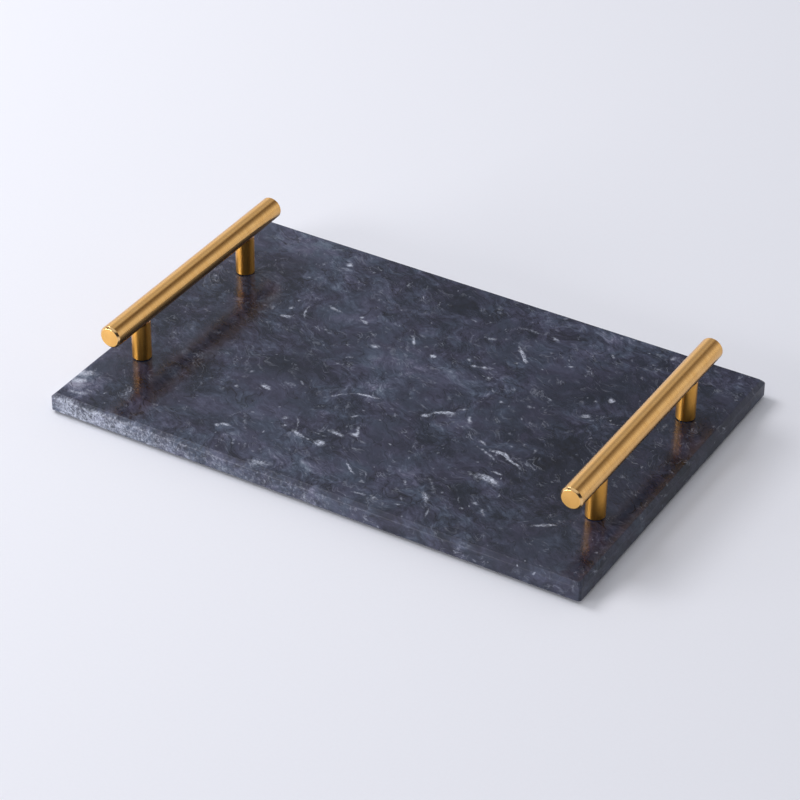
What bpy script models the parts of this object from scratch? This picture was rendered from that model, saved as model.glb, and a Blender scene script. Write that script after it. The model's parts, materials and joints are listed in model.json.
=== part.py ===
"""A dark marble serving tray with two round T-bar handles.

The slab lies in the XY plane on four thin pads. Each handle is a solid round bar on two
posts. A stud joins each post to the bar, and a screw from below clamps the slab to the
post. Lengths are in metres, +Z is up, +X runs along the slab towards the right-hand
handle, and the origin is on the table under the middle of the slab.
"""

import math

import bmesh
import bpy

# Marble slab
SLAB_LENGTH = 0.300
SLAB_WIDTH = 0.200
SLAB_THICKNESS = 0.010
TOP_ARRIS = 0.002
CORNER_ARRIS = 0.001
BOTTOM_ARRIS = 0.0006

# Handle bars and posts
BAR_DIAMETER = 0.012
BAR_OVERHANG = 0.027
BAR_END_CHAMFER = 0.001
HANDLE_PROJECTION = 0.032
HANDLE_INSET = 0.020
POST_SPACING = 0.096
POST_DIAMETER = 0.010
POST_FOOT_CHAMFER = 0.0004

# Studs, screws and washers
THREAD_DIAMETER = 0.004
THREAD_END_CHAMFER = 0.0005
STUD_GRIP_IN_POST = 0.006
STUD_HOLE_SPARE = 0.001
STUD_TO_SCREW_SPACE = 0.005
SCREW_HEAD_DIAMETER = 0.0076
SCREW_HEAD_HEIGHT = 0.0022
SCREW_HEAD_RIM = 0.0004
SCREW_HEAD_FLAT_DIAMETER = 0.0044
SCREW_HEAD_RECESS = 0.0005
SOCKET_ACROSS_FLATS = 0.0025
SOCKET_DEPTH = 0.0013
WASHER_DIAMETER = 0.009
WASHER_THICKNESS = 0.0008

# Pads under the slab
FOOT_DIAMETER = 0.016
FOOT_THICKNESS = 0.0008
FOOT_MARGIN = 0.010

# Clearances, and how far a cutter runs past what it cuts
SEAT_GAP = 0.0003
SCREW_HOLE_CLEARANCE = 0.0005
WASHER_BORE_CLEARANCE = 0.00015
COUNTERBORE_CLEARANCE = 0.0005
OVERRUN = 0.002
MERGE_DISTANCE = 0.000001

# Smoothness of the round pieces
BAR_SEGMENTS = 64
POST_SEGMENTS = 48
FOOT_SEGMENTS = 48
SMALL_SEGMENTS = 32
SOCKET_SIDES = 6
DOME_STEPS = 6
SHARP_ANGLE = math.radians(30)
FLAT_ANGLE = math.radians(1)
QUARTER_TURN = math.radians(90)

# Heights and radii that follow from the sizes above
BAR_RADIUS = BAR_DIAMETER / 2
BAR_LENGTH = POST_SPACING + 2 * BAR_OVERHANG
POST_RADIUS = POST_DIAMETER / 2
THREAD_RADIUS = THREAD_DIAMETER / 2
TAPPED_RADIUS = THREAD_RADIUS + SEAT_GAP
SLAB_BOTTOM = FOOT_THICKNESS + SEAT_GAP
SLAB_TOP = SLAB_BOTTOM + SLAB_THICKNESS
POST_BOTTOM = SLAB_TOP + SEAT_GAP
BAR_AXIS = SLAB_TOP + HANDLE_PROJECTION - BAR_RADIUS
SADDLE_BOTTOM = BAR_AXIS - BAR_RADIUS - SEAT_GAP
STUD_BOTTOM = SADDLE_BOTTOM - STUD_GRIP_IN_POST
STUD_TOP = BAR_AXIS
SCREW_TIP = STUD_BOTTOM - STUD_TO_SCREW_SPACE
SCREW_FACE = SLAB_BOTTOM + SCREW_HEAD_RECESS
SCREW_SEAT = SCREW_FACE + SCREW_HEAD_HEIGHT
WASHER_BOTTOM = SCREW_SEAT + SEAT_GAP
WASHER_TOP = WASHER_BOTTOM + WASHER_THICKNESS
COUNTERBORE_TOP = WASHER_TOP + SEAT_GAP

SIDES = {"left": -1, "right": 1}
ENDS = {"front": -1, "rear": 1}


def start_clean():
    """Removes what the file holds and makes the two collections."""
    for thing in list(bpy.data.objects):
        bpy.data.objects.remove(thing)
    made = []
    for name in ("marble_serving_tray", "cutters"):
        collection = bpy.data.collections.new(name)
        bpy.context.scene.collection.children.link(collection)
        made.append(collection)
    return made


def make_material(name, colour, roughness, metallic):
    """A plain finish: linear colour, roughness and metallic value."""
    material = bpy.data.materials.new(name)
    material.use_nodes = True
    shader = material.node_tree.nodes["Principled BSDF"]
    shader.inputs["Base Color"].default_value = (*colour, 1.0)
    shader.inputs["Roughness"].default_value = roughness
    shader.inputs["Metallic"].default_value = metallic
    return material


def add_object(name, mesh, collection, material=None):
    """Puts a mesh in the scene under its name."""
    piece = bpy.data.objects.new(name, mesh)
    collection.objects.link(piece)
    if material:
        mesh.materials.append(material)
    return piece


def turned(name, profile, segments, collection, material=None, closed=False):
    """Turns a profile of (radius, height) points about Z, listed down its outer side."""
    shape = bmesh.new()
    points = [shape.verts.new((radius, 0, height)) for radius, height in profile]
    for first, second in zip(points, points[1:]):
        shape.edges.new((first, second))
    if closed:
        shape.edges.new((points[-1], points[0]))
    mesh = bpy.data.meshes.new(name)
    shape.to_mesh(mesh)
    shape.free()
    piece = add_object(name, mesh, collection, material)
    screw = piece.modifiers.new("turn", "SCREW")
    screw.steps = segments
    screw.render_steps = segments
    screw.use_merge_vertices = True
    screw.merge_threshold = MERGE_DISTANCE
    return piece


def move_to(collection, piece):
    """Takes an object out of its collections and puts it in this one."""
    for owner in list(piece.users_collection):
        owner.objects.unlink(piece)
    collection.objects.link(piece)


def round_cutter(name, radius, bottom, top, segments, collection):
    """An upright cylinder that cuts from one height to another."""
    bpy.ops.mesh.primitive_cylinder_add(
        vertices=segments, radius=radius, depth=top - bottom
    )
    cutter = bpy.context.object
    cutter.name = name
    cutter.location.z = (bottom + top) / 2
    return as_cutter(cutter, collection)


def as_cutter(cutter, collection):
    """Moves an object to the cutters, drawn as wire and never rendered."""
    move_to(collection, cutter)
    cutter.hide_render = True
    cutter.display_type = "WIRE"
    return cutter


def cut(piece, cutter):
    """Takes the cutter's shape out of the piece."""
    boolean = piece.modifiers.new(cutter.name, "BOOLEAN")
    boolean.operation = "DIFFERENCE"
    boolean.solver = "EXACT"
    boolean.object = cutter


def slab_outline(inset):
    """Corners of the slab's outline, cut off at each corner, drawn in by the inset."""
    x = SLAB_LENGTH / 2 - inset
    y = SLAB_WIDTH / 2 - inset
    for x_sign in SIDES.values():
        for y_sign in ENDS.values():
            yield x_sign * (x - CORNER_ARRIS), y_sign * y
            yield x_sign * x, y_sign * (y - CORNER_ARRIS)


def make_slab(parts, cutters, marble):
    """The marble slab: wide arris on top, narrow one below, eased corners, four stepped holes."""
    outlines = (
        (TOP_ARRIS, SLAB_THICKNESS),
        (0, SLAB_THICKNESS - TOP_ARRIS),
        (0, BOTTOM_ARRIS),
        (BOTTOM_ARRIS, 0),
    )
    shape = bmesh.new()
    for inset, height in outlines:
        for x, y in slab_outline(inset):
            shape.verts.new((x, y, height))
    bmesh.ops.convex_hull(shape, input=shape.verts)
    bmesh.ops.dissolve_limit(
        shape, angle_limit=FLAT_ANGLE, verts=shape.verts, edges=shape.edges
    )
    bmesh.ops.recalc_face_normals(shape, faces=shape.faces)
    mesh = bpy.data.meshes.new("marble_slab")
    shape.to_mesh(mesh)
    shape.free()
    slab = add_object("marble_slab", mesh, parts, marble)
    slab.location.z = SLAB_BOTTOM
    for side, end, x, y in post_places():
        hole = stepped_hole(f"slab_hole_{side}_{end}", cutters)
        hole.location = (x, y, 0)
        cut(slab, hole)
    return slab


def post_places():
    """Side, end and place in the XY plane of each post."""
    handle_x = SLAB_LENGTH / 2 - HANDLE_INSET
    for side, x_sign in SIDES.items():
        for end, y_sign in ENDS.items():
            yield side, end, x_sign * handle_x, y_sign * POST_SPACING / 2


def stepped_hole(name, cutters):
    """A screw hole that widens to a counterbore for the washer and the screw head."""
    narrow = THREAD_RADIUS + SCREW_HOLE_CLEARANCE
    wide = WASHER_DIAMETER / 2 + COUNTERBORE_CLEARANCE
    profile = [
        (0, SLAB_TOP + OVERRUN),
        (narrow, SLAB_TOP + OVERRUN),
        (narrow, COUNTERBORE_TOP),
        (wide, COUNTERBORE_TOP),
        (wide, SLAB_BOTTOM - OVERRUN),
        (0, SLAB_BOTTOM - OVERRUN),
    ]
    return as_cutter(turned(name, profile, SMALL_SEGMENTS, cutters), cutters)


def make_bar(side, carrier, parts, cutters, gold):
    """A solid round bar along Y with chamfered ends and two tapped holes in its underside."""
    half = BAR_LENGTH / 2
    rim = BAR_RADIUS - BAR_END_CHAMFER
    profile = [
        (0, half),
        (rim, half),
        (BAR_RADIUS, half - BAR_END_CHAMFER),
        (BAR_RADIUS, BAR_END_CHAMFER - half),
        (rim, -half),
        (0, -half),
    ]
    bar = turned(f"handle_bar_{side}", profile, BAR_SEGMENTS, parts, gold)
    bar.parent = carrier
    bar.location.z = BAR_AXIS - SLAB_TOP
    bar.rotation_euler.x = QUARTER_TURN
    for end, y_sign in ENDS.items():
        hole = round_cutter(
            f"stud_hole_{side}_{end}",
            TAPPED_RADIUS,
            SADDLE_BOTTOM - SLAB_TOP - OVERRUN,
            STUD_TOP - SLAB_TOP + STUD_HOLE_SPARE,
            SMALL_SEGMENTS,
            cutters,
        )
        hole.parent = carrier
        hole.location.y = y_sign * POST_SPACING / 2
        cut(bar, hole)
    return bar


def make_saddle_cutter(side, carrier, cutters):
    """The bar's own shape with the seat gap round it, which hollows the tops of its posts."""
    saddle = round_cutter(
        f"saddle_{side}",
        BAR_RADIUS + SEAT_GAP,
        -BAR_LENGTH / 2,
        BAR_LENGTH / 2,
        BAR_SEGMENTS,
        cutters,
    )
    saddle.parent = carrier
    saddle.location.z = BAR_AXIS - SLAB_TOP
    saddle.rotation_euler.x = QUARTER_TURN
    return saddle


def make_post(place, carrier, saddle, parts, cutters, gold):
    """A round post, tapped right through, with a saddle top and a chamfered foot."""
    side, end, y = place
    bottom = POST_BOTTOM - SLAB_TOP
    top = BAR_AXIS - SLAB_TOP
    profile = [
        (0, top),
        (POST_RADIUS, top),
        (POST_RADIUS, bottom + POST_FOOT_CHAMFER),
        (POST_RADIUS - POST_FOOT_CHAMFER, bottom),
        (0, bottom),
    ]
    post = turned(f"post_{side}_{end}", profile, POST_SEGMENTS, parts, gold)
    post.parent = carrier
    post.location.y = y
    cut(post, saddle)
    bore = round_cutter(
        f"post_bore_{side}_{end}",
        TAPPED_RADIUS,
        bottom - OVERRUN,
        top + OVERRUN,
        SMALL_SEGMENTS,
        cutters,
    )
    bore.parent = carrier
    bore.location.y = y
    cut(post, bore)
    return post


def make_stud(place, carrier, parts, steel):
    """The headless stud that joins a post to the bar."""
    side, end, y = place
    top = STUD_TOP - SLAB_TOP
    bottom = STUD_BOTTOM - SLAB_TOP
    tip = THREAD_RADIUS - THREAD_END_CHAMFER
    profile = [
        (0, top),
        (tip, top),
        (THREAD_RADIUS, top - THREAD_END_CHAMFER),
        (THREAD_RADIUS, bottom + THREAD_END_CHAMFER),
        (tip, bottom),
        (0, bottom),
    ]
    stud = turned(f"bar_stud_{side}_{end}", profile, SMALL_SEGMENTS, parts, steel)
    stud.parent = carrier
    stud.location.y = y
    return stud


def dome_points():
    """A quarter ellipse from the rim of the screw's head to the flat round its socket."""
    flat = SCREW_HEAD_FLAT_DIAMETER / 2
    reach = SCREW_HEAD_DIAMETER / 2 - flat
    rise = SCREW_HEAD_HEIGHT - SCREW_HEAD_RIM
    for step in range(DOME_STEPS + 1):
        angle = QUARTER_TURN * step / DOME_STEPS
        height = SCREW_SEAT - SCREW_HEAD_RIM - rise * math.sin(angle)
        yield flat + reach * math.cos(angle), height


def make_screw(side, end, x, y, parts, cutters, steel):
    """A button head screw, head down, with a hexagon socket in the head."""
    profile = [
        (0, SCREW_TIP),
        (THREAD_RADIUS - THREAD_END_CHAMFER, SCREW_TIP),
        (THREAD_RADIUS, SCREW_TIP - THREAD_END_CHAMFER),
        (THREAD_RADIUS, SCREW_SEAT),
        (SCREW_HEAD_DIAMETER / 2, SCREW_SEAT),
        *dome_points(),
        (0, SCREW_FACE),
    ]
    screw = turned(f"handle_screw_{side}_{end}", profile, SMALL_SEGMENTS, parts, steel)
    screw.location = (x, y, 0)
    socket = round_cutter(
        f"socket_{side}_{end}",
        SOCKET_ACROSS_FLATS / 2 / math.cos(math.pi / SOCKET_SIDES),
        SCREW_FACE - OVERRUN,
        SCREW_FACE + SOCKET_DEPTH,
        SOCKET_SIDES,
        cutters,
    )
    socket.location.x = x
    socket.location.y = y
    cut(screw, socket)
    return screw


def make_washer(side, end, x, y, parts, steel):
    """The flat ring between the screw's head and the stone."""
    inner = THREAD_RADIUS + WASHER_BORE_CLEARANCE
    outer = WASHER_DIAMETER / 2
    profile = [
        (inner, WASHER_TOP),
        (outer, WASHER_TOP),
        (outer, WASHER_BOTTOM),
        (inner, WASHER_BOTTOM),
    ]
    name = f"washer_{side}_{end}"
    washer = turned(name, profile, SMALL_SEGMENTS, parts, steel, closed=True)
    washer.location = (x, y, 0)
    return washer


def make_foot(side, end, parts, rubber):
    """A thin round pad stuck under a corner of the slab."""
    from_edge = FOOT_MARGIN + FOOT_DIAMETER / 2
    bpy.ops.mesh.primitive_cylinder_add(
        vertices=FOOT_SEGMENTS, radius=FOOT_DIAMETER / 2, depth=FOOT_THICKNESS
    )
    foot = bpy.context.object
    move_to(parts, foot)
    foot.name = f"foot_{side}_{end}"
    foot.location = (
        SIDES[side] * (SLAB_LENGTH / 2 - from_edge),
        ENDS[end] * (SLAB_WIDTH / 2 - from_edge),
        FOOT_THICKNESS / 2,
    )
    foot.data.shade_smooth()
    foot.data.set_sharp_from_angle(angle=SHARP_ANGLE)
    foot.data.materials.append(rubber)
    return foot


def make_handle(side, parts, cutters, gold, steel):
    """A bar, its two posts and their studs, all carried by an empty on the slab's top."""
    carrier = bpy.data.objects.new(f"handle_{side}", None)
    parts.objects.link(carrier)
    carrier.location = (SIDES[side] * (SLAB_LENGTH / 2 - HANDLE_INSET), 0, SLAB_TOP)
    make_bar(side, carrier, parts, cutters, gold)
    saddle = make_saddle_cutter(side, carrier, cutters)
    for end, y_sign in ENDS.items():
        place = (side, end, y_sign * POST_SPACING / 2)
        make_post(place, carrier, saddle, parts, cutters, gold)
        make_stud(place, carrier, parts, steel)


def main():
    parts, cutters = start_clean()
    marble = make_material("polished_marble", (0.055, 0.061, 0.078), 0.2, 0.0)
    gold = make_material("brushed_gold_steel", (0.58, 0.35, 0.12), 0.35, 1.0)
    steel = make_material("zinc_plated_steel", (0.55, 0.55, 0.56), 0.4, 1.0)
    rubber = make_material("pad_rubber", (0.03, 0.03, 0.032), 0.8, 0.0)
    make_slab(parts, cutters, marble)
    for side in SIDES:
        make_handle(side, parts, cutters, gold, steel)
    for side, end, x, y in post_places():
        make_screw(side, end, x, y, parts, cutters, steel)
        make_washer(side, end, x, y, parts, steel)
        make_foot(side, end, parts, rubber)


main()
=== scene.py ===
# %% [markdown]
# # A marble serving tray with brushed gold handles
# The tray is a slab of dark marble with a round bar handle near each short edge. The
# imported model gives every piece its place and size. This lesson remakes each piece with
# fine edges and threads, gives it a finish made only of nodes, and lights it softly.

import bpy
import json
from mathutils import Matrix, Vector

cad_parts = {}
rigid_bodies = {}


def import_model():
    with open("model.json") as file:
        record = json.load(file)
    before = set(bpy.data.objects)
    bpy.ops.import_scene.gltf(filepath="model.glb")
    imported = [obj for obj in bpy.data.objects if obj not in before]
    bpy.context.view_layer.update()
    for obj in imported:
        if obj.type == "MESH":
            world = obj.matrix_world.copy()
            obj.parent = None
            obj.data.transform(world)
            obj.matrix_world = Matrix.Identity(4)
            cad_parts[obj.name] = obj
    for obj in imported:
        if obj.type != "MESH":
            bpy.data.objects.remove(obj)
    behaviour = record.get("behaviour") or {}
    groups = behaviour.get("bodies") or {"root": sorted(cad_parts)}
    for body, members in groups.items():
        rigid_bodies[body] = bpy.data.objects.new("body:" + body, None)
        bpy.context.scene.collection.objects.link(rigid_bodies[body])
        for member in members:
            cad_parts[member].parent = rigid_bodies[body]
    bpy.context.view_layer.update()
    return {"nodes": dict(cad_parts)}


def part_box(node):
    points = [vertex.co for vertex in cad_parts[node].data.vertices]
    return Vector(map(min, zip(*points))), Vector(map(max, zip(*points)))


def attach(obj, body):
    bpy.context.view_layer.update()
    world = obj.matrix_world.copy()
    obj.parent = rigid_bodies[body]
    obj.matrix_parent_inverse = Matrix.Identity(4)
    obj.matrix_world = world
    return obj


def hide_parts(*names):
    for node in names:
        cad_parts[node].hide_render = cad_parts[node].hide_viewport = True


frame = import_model()
print("pieces in the model:", len(frame["nodes"]))

# %% [markdown]
# ## Tools for the whole lesson
# Lengths are in metres, so a millimetre gets a name. Small helpers do the node work: one
# adds a node, one sets what a node takes in, and one turns a colour as a picture editor
# shows it into the linear numbers that a shader needs.

# %% Helpers for nodes and colours
import json
import math
from functools import partial

import bmesh
import bpy
from mathutils import Matrix, Vector

MM = 0.001
SIDES = {"left": -1, "right": 1}
ENDS = {"front": -1, "rear": 1}


def feed(tree, node, inputs):
    """Sets inputs to numbers, or links them from a socket or a node's first output in use."""
    for socket, value in inputs.items():
        if isinstance(value, bpy.types.Node):
            value = next(output for output in value.outputs if output.enabled)
        if isinstance(value, bpy.types.NodeSocket):
            tree.links.new(value, node.inputs[socket])
        else:
            node.inputs[socket].default_value = value


def add(tree, kind, inputs=None, **settings):
    """Adds a node with its settings and inputs."""
    node = tree.nodes.new(kind)
    for name, value in settings.items():
        setattr(node, name, value)
    feed(tree, node, inputs or {})
    return node


def linear(code):
    """A hex colour of a picture editor as linear red, green, blue and alpha."""
    shares = [int(code[place : place + 2], 16) / 255 for place in (1, 3, 5)]
    return (*(s / 12.92 if s <= 0.04045 else ((s + 0.055) / 1.055) ** 2.4 for s in shares), 1.0)


def per_metre(size_mm):
    """The texture scale that makes a pattern's features about this many millimetres wide."""
    return 1000 / size_mm


def new_material(name):
    """An empty material: its node tree, its shader and the object coordinates."""
    material = bpy.data.materials.new(name)
    material.use_nodes = True
    tree = material.node_tree
    shader = tree.nodes["Principled BSDF"]
    return material, tree, shader, add(tree, "ShaderNodeTexCoord").outputs["Object"]


print("mid grey #808080 is linear", round(linear("#808080")[0], 3))

# %% [markdown]
# ## The stone's marks
# Marble is limestone that heat and pressure made flow, so it has cloudy lumps, pale
# threads of calcite between them, and small white grains. Noise makes a fair crowd of
# these anywhere, but a slab is known by its few large marks. These tables give their
# places on the top, as one would sketch them on a plan: where, how long, how wide, which
# way they lie, how far they bow, and how strong they are. One wide dark cloud among them
# is painted shade that darkens the right end of the top.

# %% Tables of the large marks
# x mm, y mm, length mm, width mm, turn in degrees, strength: painted shade, pale lumps and dark calm areas
CLOUDS_AND_SHADE = (
    # Painted shade: a wide dark cloud over the whole right end, which gets less of the light from the
    # left.
    (112, 0, 120, 260, 0, -0.75),
    (80, 48, 60, 50, 20, -0.5),
    (92, -10, 40, 60, 10, -0.6),
    (-74, 6, 46, 26, 5, -1.1),
    (-62, -16, 60, 24, 8, -0.9),
    (-30, 84, 90, 34, -5, -0.8),
    (66, -66, 26, 40, 60, -0.7),
    (-100, -45, 30, 50, 0, -0.35),
    (-115, 90, 90, 44, 0, 1.0),
    (-58, 38, 44, 26, 10, 0.7),
    (-15, 14, 100, 34, 0, 0.75),
    (-14, -12, 40, 26, -15, 0.6),
    (-4, 58, 34, 22, 0, 0.4),
    (30, 86, 40, 22, -8, 0.6),
    (34, -14, 34, 24, 35, 0.5),
    (74, -50, 22, 12, -10, 0.9),
    (-20, -82, 110, 40, 0, 0.7),
    (-60, -62, 50, 26, 0, 0.5),
    (42, -70, 50, 16, -38, 0.5),
    (-146, -84, 44, 34, 20, 1.9),
    (-150, -60, 30, 50, 0, 0.5),
)
# x mm, y mm, length mm, width mm, turn in degrees, bow mm, strength: calcite threads and grains
THREADS = (
    (-27, -26, 20, 1.6, 47, -2, 0.6),
    (-13.5, -18.2, 14, 1.7, 8, -2, 1.05),
    (-10, -37, 5, 2.6, 75, 0, 0.7),
    (-2.5, -47, 9, 2.4, -60, 0, 0.75),
    (-2, -51, 7, 4, 0, 0, 0.7),
    (-10, -54.5, 12, 3.4, -8, 0, 0.75),
    (-38.5, -56, 4, 3, 60, 0, 0.75),
    (-35, -62, 5, 3, 60, 0, 0.65),
    (-31, -57, 14, 1.2, -58, -1, 0.6),
    (-26, -64.5, 8, 3.2, -20, -1, 0.95),
    (-20, -66, 7, 1.5, -5, 1, 0.65),
    (-12.5, -66, 6.4, 5, 0, 0, 1.35),
    (-18, -59.5, 15, 1.8, 3, 1, 0.5),
    (19.5, -18.8, 5, 2.8, 20, 0, 1.05),
    (24.5, -12.5, 11, 2.6, 42, -1, 0.95),
    (29, -10.5, 9, 6, 10, 0, 0.65),
    (33, -4, 7, 1.6, 40, 0, 0.65),
    (40.5, -10.8, 7.5, 3, -52, 0, 0.95),
    (55.5, -24, 7, 2.4, -30, 0, 0.75),
    (67, -27, 11, 3.2, -4, -1, 1.25),
    (76, -30.5, 17, 1.9, -27, -1.5, 1),
    (61, -30.5, 17, 1.8, -24, -1.5, 0.75),
    (74, -42.5, 6.5, 1.8, -5, 0, 0.85),
    (74, -49.5, 12, 5, -18, -1, 0.95),
    (66, -50, 15, 5, 0, 0, 0.45),
    (10.5, -76, 13, 1.5, -38, 2, 0.9),
    (21.5, -82.5, 3, 4, 0, 0, 0.6),
    (25, -91, 9, 2, 12, -1, 0.75),
    (33, -91, 6, 2.2, -40, 0, 0.7),
    (40, -72, 7, 1.8, -55, 0, 0.7),
    (45, -85, 5, 1.8, -60, 0, 0.6),
    (45.5, -90, 6, 1.8, 15, 0, 0.55),
    (54.5, -77.5, 10, 3, -48, -1, 0.85),
    (61.5, -88, 8, 2, -72, -1, 0.65),
    (58.5, -70.5, 3, 2.4, 0, 0, 0.55),
    (77, -70, 4, 3, 0, 0, 0.7),
    (73, -76.5, 3, 2, 0, 0, 0.55),
    (83, -74, 10, 1.6, -52, 0, 0.6),
    (69, -71, 6, 1.4, -60, 0, 0.5),
    (45.5, -55.5, 3, 2.6, 0, 0, 0.6),
    (30, -49, 8, 1.6, -10, 0, 0.5),
    (81, -17, 2.4, 4, 0, 0, 0.6),
    (83, -58, 7, 1.3, -80, 0, 0.5),
    (52, -68, 20, 3, -52, -3, 0.42),
    (-42, -2, 3.6, 3, 0, 0, 0.5),
    (21.5, 0.5, 3, 4, 0, 0, 0.55),
    (-86.5, 82.3, 4, 4.4, -60, 0, 1.15),
    (-120, 69, 5, 3, 60, 0, 0.5),
    (-98, 60.5, 6, 2, 5, 0, 0.45),
    (-74, 59, 5, 2, 5, 0, 0.4),
    (-68, 64, 6, 2, 10, 0, 0.42),
    (-58.5, 60, 3.4, 2.6, 0, 0, 0.5),
    (-54.5, 60.5, 3, 2.4, 0, 0, 0.48),
    (-39, 59, 4.4, 3, 60, 0, 0.52),
    (-70, 41.5, 12, 2.8, -8, 0, 0.75),
    (-53, 42, 3.2, 3, 0, 0, 0.8),
    (-50, 39, 5.4, 2.6, -20, 0, 1),
    (-81, 30.5, 13, 1.6, -68, 1, 0.8),
    (-90, 30.5, 4, 3, 70, 0, 0.8),
    (-88, 22, 7, 3.6, 15, 0, 0.8),
    (-34, 21.5, 6.5, 3.6, 35, 0, 0.9),
    (-20, 37, 12, 2.8, -48, -1, 0.85),
    (-18.5, 48, 2.6, 2.4, 0, 0, 0.45),
    (-27.5, 63, 2.6, 3, 0, 0, 0.48),
    (-26, 74, 12, 1.4, -58, 0, 0.42),
    (-2.5, 70, 6, 2, -20, 0, 0.48),
    (-4, 29, 4, 3.8, 0, 0, 1.25),
    (-11, 36, 3.4, 2.4, 0, 0, 0.55),
    (-19, 14.5, 2.8, 2.4, 0, 0, 0.5),
    (-39, 6.5, 6, 3, 0, 0, 0.52),
    (8, 10, 6, 3, 10, 0, 0.45),
    (14, 59, 6, 3, 15, 0, 0.8),
    (20, 63, 2.8, 2.4, 0, 0, 0.45),
    (14, 36.5, 5, 2, -25, 0, 0.65),
    (18.5, 32.5, 4, 3, 0, 0, 1),
    (24, 33.5, 6, 2.2, 8, 0, 0.75),
    (26, 40, 4, 1.8, 80, 0, 0.45),
    (-62, 21.5, 14, 2.4, -30, 0, 0.42),
    (22, 76.5, 6, 3, 0, 0, 0.5),
    (30, 76.5, 12, 2.6, 0, 1, 0.55),
    (35, 79, 3.4, 2.6, 60, 0, 0.62),
    (42, 76, 5.4, 3, -25, 0, 0.8),
    (37, 96, 4, 3, 60, 0, 0.55),
    (74.5, 77.5, 4.4, 2.2, -50, 0, 0.75),
    (79, 72, 10, 1.4, -50, 0, 0.4),
    (33.5, 55.5, 16, 1.8, -42, 1, 1),
    (35, 53, 13, 1.5, -44, -1, 0.85),
    (38.5, 50, 3.6, 2.4, -40, 0, 0.9),
    (35, 46, 4, 2.2, 60, 0, 0.55),
    (46.5, 64, 3.4, 2.2, 0, 0, 0.55),
    (61, 58, 5, 1.7, 25, 0, 0.75),
    (92, 41, 3.8, 3.4, 0, 0, 1.25),
    (86, 37, 3, 2.2, 0, 0, 0.62),
    (87.5, 22, 6.5, 3.4, 25, 0, 0.9),
    (103, 23.5, 6, 1.9, 25, 0, 0.55),
    (30, 27, 6, 4, -40, 0, 0.62),
    (37.5, 17.5, 5, 1.7, -45, 0, 0.6),
    (46, 11.5, 3, 2.8, 0, 0, 0.68),
    (60, 15, 3.2, 2.8, 0, 0, 0.65),
    (102, 92, 6, 3, 70, 0, 0.7),
    (-61.5, -38.5, 7, 3, -5, -0.5, 1.1),
    (-60.5, -76.5, 5.5, 2.8, 5, -1, 0.9),
    (-64, -79, 3.4, 2.8, 30, 0, 0.82),
    (-75, -30.5, 3, 2.6, 0, 0, 0.55),
    (-45.5, -49.5, 3.4, 2, 60, 0, 0.48),
    (-49, -88, 3.4, 2.8, 0, 0, 0.55),
    (-89, -46, 4, 3, 60, 0, 0.42),
    (-54, -69, 26, 3.4, -55, 0, 0.38),
    (-126, 5, 8, 2.4, -30, 0, 0.5),
    (-110, -10, 9, 5, 0, 0, 0.42),
    (-146, -76, 14, 7, 25, 0, 0.9),
    (-145, -83, 11, 5, 15, 0, 1),
    (-138, -92, 16, 4, 15, 1, 0.65),
    (-28, -95, 14, 5, 15, 0, 0.75),
    (113, -68, 12, 2.6, 35, 0, 0.95),
    (118, 40, 8, 3, 20, 0, 0.45),
    (-138, -101.2, 54, 7, 0, 0, 0.8),
    (-96, -101.2, 56, 7, 0, 0, 0.6),
    (-50, -101.2, 56, 7, 0, 0, 0.42),
    (2, -101.2, 60, 7, 0, 0, 0.4),
)
HALO = 1.4  # a mark fades into the stone over this many times its own size
print("large marks:", len(CLOUDS_AND_SHADE), "clouds and", len(THREADS), "threads")

# %% [markdown]
# ## Marble, polished, honed and sawn
# One stone carries three finishes, so one function draws the stone and takes the finish
# as settings. The top is polished, which deepens the colour and mirrors the posts. The
# edges are honed with a fine stone: their micro-scratches scatter light, so the same
# marble looks a little paler and silky there. The underside is left as the saw left it.
# The stone is built in layers: cloudy tones, thin lines along the levels of a swirled
# noise as on a map, small grains, and last the large marks of the tables.

# %% Layers of the stone
# Albedo from the darkest calm stone to the palest lump, at shares of the tone's range.
STONE_RAMP = (
    (0.08, "#090C15"),
    (0.22, "#151A27"),
    (0.32, "#1E222F"),
    (0.42, "#282B3A"),
    (0.50, "#323545"),
    (0.58, "#3A3F50"),
    (0.70, "#4B5062"),
    (0.82, "#656A7B"),
    (0.98, "#8D92A0"),
)
CALCITE = "#C6CCDA"
HONED_VEIL = "#B4B9C6"
TEAL = (0.93, 1.035, 1.0, 1)  # the stone's two faint tints, as factors of its colour
PLUM = (1.07, 0.965, 1.01, 1)
GRAIN_TURN = math.radians(-34)  # the way that the stone once flowed, from above
# flow, length mm, width mm, detail, roughness, distortion, weight of each cloudy tone
TONES = (
    ("broad", 28, 28, 5, 0.6, 0.4, 0.5),
    ("broad", 17, 10, 8, 0.68, 0.8, 0.78),
    ("broad", 11, 2.8, 5, 0.62, 0.3, 0.48),
    ("fine", 4.5, 0.9, 4, 0.6, 0, 0.42),
    ("fine", 3.2, 3.2, 5, 0.7, 0.5, 0.5),
)
TONE_SHIFT = -0.09  # darkens all of it
LUMP_MM, LUMP_WEIGHT = 8, 0.18
CLOUD_WEIGHT = 0.26  # how far a cloud of strength 1 lifts the tone
CALM_MM = 34  # calm areas, where the clouds are faint, are about this wide
# flow, length mm, width mm, distortion, half width, size of the mask mm, its start, strength
LINES = (
    ("broad", 30, 17, 0.6, 0.012, 15, 0.40, -0.55),
    ("broad", 18, 9, 1.0, 0.014, 9, 0.50, -0.5),
    ("broad", 30, 8, 0.6, 0.030, 10, 0.50, 0.15),
    ("broad", 14, 5, 0.8, 0.035, 8, 0.54, 0.24),
    ("fine", 18, 6, 0.6, 0.028, 8, 0.60, 0.34),
)
MASK_EASE = 0.14  # a line fades in over this much of its mask
# size mm, reach mm and detail of each noise that bends a layer
BROAD_BENDS = ((40, 20, 3), (10, 7, 3))
FINE_BENDS = ((3, 1.6, 2),)
CLOUD_BENDS = ((10, 10, 4),)
MARK_BENDS = ((9, 3.5, 3), (2.2, 1.6, 3))
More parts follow.
